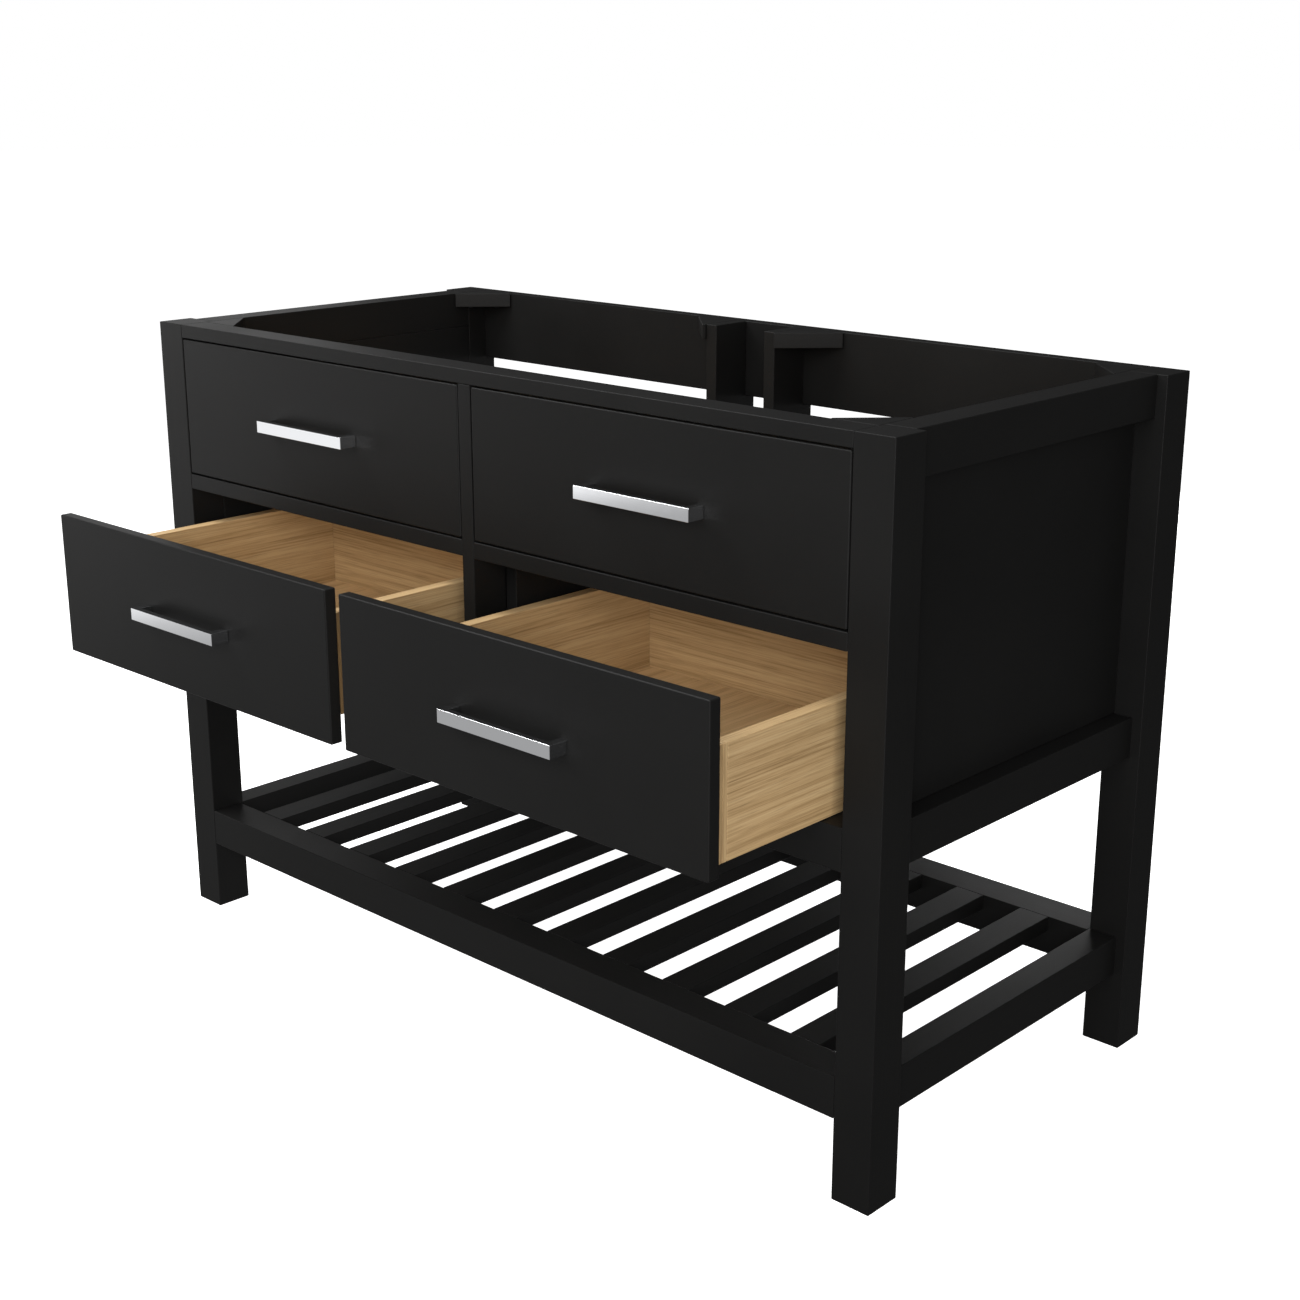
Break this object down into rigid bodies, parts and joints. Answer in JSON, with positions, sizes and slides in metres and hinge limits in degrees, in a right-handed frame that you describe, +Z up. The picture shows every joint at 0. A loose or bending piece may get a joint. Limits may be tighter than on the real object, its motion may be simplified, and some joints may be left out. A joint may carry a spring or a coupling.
{
  "type": "bathroom vanity cabinet",
  "caption": "Wide vanity base on square legs with drawers behind bar pulls, a slatted lower shelf, an open top for a basin and an open back for pipes.",
  "frame": {"origin": "on the floor, at the middle of the bounding box with the two lower drawers standing 202 mm open as they do at rest", "axes": "+X to the right as seen from the front, +Y from the drawer fronts to the wall, +Z up"},
  "size_m": [1.2192, 0.7848, 0.8367],
  "materials": {
    "black_paint": "satin black paint on wood",
    "light_oak": "clear satin lacquer, straight grain",
    "chrome": "polished",
    "runner_steel": "zinc plated"
  },
  "bodies": {
    "carcass": {"leg_front_left": "black_paint", "leg_rear_left": "black_paint", "leg_front_right": "black_paint", "leg_rear_right": "black_paint", "top_front_rail": "black_paint", "bottom_front_rail": "black_paint", "centre_stile": "black_paint", "mid_rail_left": "black_paint", "mid_rail_right": "black_paint", "side_top_rail_left": "black_paint", "side_bottom_rail_left": "black_paint", "side_panel_left": "black_paint", "side_top_rail_right": "black_paint", "side_bottom_rail_right": "black_paint", "side_panel_right": "black_paint", "rear_top_rail": "black_paint", "rear_bottom_rail": "black_paint", "rear_batten_left": "black_paint", "rear_batten_right": "black_paint", "corner_block_front_left": "black_paint", "corner_block_front_right": "black_paint", "corner_block_rear_left": "black_paint", "corner_block_rear_right": "black_paint", "runner_board_left": "black_paint", "runner_board_right": "black_paint", "shelf_front_rail": "black_paint", "shelf_rear_rail": "black_paint", "shelf_side_rail_left": "black_paint", "shelf_side_rail_right": "black_paint", "shelf_slat_01": "black_paint", "shelf_slat_02": "black_paint", "shelf_slat_03": "black_paint", "shelf_slat_04": "black_paint", "shelf_slat_05": "black_paint", "shelf_slat_06": "black_paint", "shelf_slat_07": "black_paint", "shelf_slat_08": "black_paint", "shelf_slat_09": "black_paint", "shelf_slat_10": "black_paint", "shelf_slat_11": "black_paint", "runner_lower_left_inner": "runner_steel", "runner_lower_left_outer": "runner_steel", "runner_lower_right_inner": "runner_steel", "runner_lower_right_outer": "runner_steel", "runner_upper_left_inner": "runner_steel", "runner_upper_left_outer": "runner_steel", "runner_upper_right_inner": "runner_steel", "runner_upper_right_outer": "runner_steel"},
    "drawer_lower_left": {"drawer_lower_left_front": "black_paint", "drawer_lower_left_box": "light_oak", "drawer_lower_left_pull": "chrome"},
    "drawer_lower_right": {"drawer_lower_right_front": "black_paint", "drawer_lower_right_box": "light_oak", "drawer_lower_right_pull": "chrome"},
    "drawer_upper_left": {"drawer_upper_left_front": "black_paint", "drawer_upper_left_box": "light_oak", "drawer_upper_left_pull": "chrome"},
    "drawer_upper_right": {"drawer_upper_right_front": "black_paint", "drawer_upper_right_box": "light_oak", "drawer_upper_right_pull": "chrome"}
  },
  "joints": [
    {"name": "drawer_lower_left_slide", "type": "slide", "parent": "carcass", "child": "drawer_lower_left", "axis": [0, -1, 0], "range_m": [-0.202, 0.14]},
    {"name": "drawer_lower_right_slide", "type": "slide", "parent": "carcass", "child": "drawer_lower_right", "axis": [0, -1, 0], "range_m": [-0.202, 0.198]},
    {"name": "drawer_upper_left_slide", "type": "slide", "parent": "carcass", "child": "drawer_upper_left", "axis": [0, -1, 0], "range_m": [0, 0.34]},
    {"name": "drawer_upper_right_slide", "type": "slide", "parent": "carcass", "child": "drawer_upper_right", "axis": [0, -1, 0], "range_m": [0, 0.34]}
  ]
}
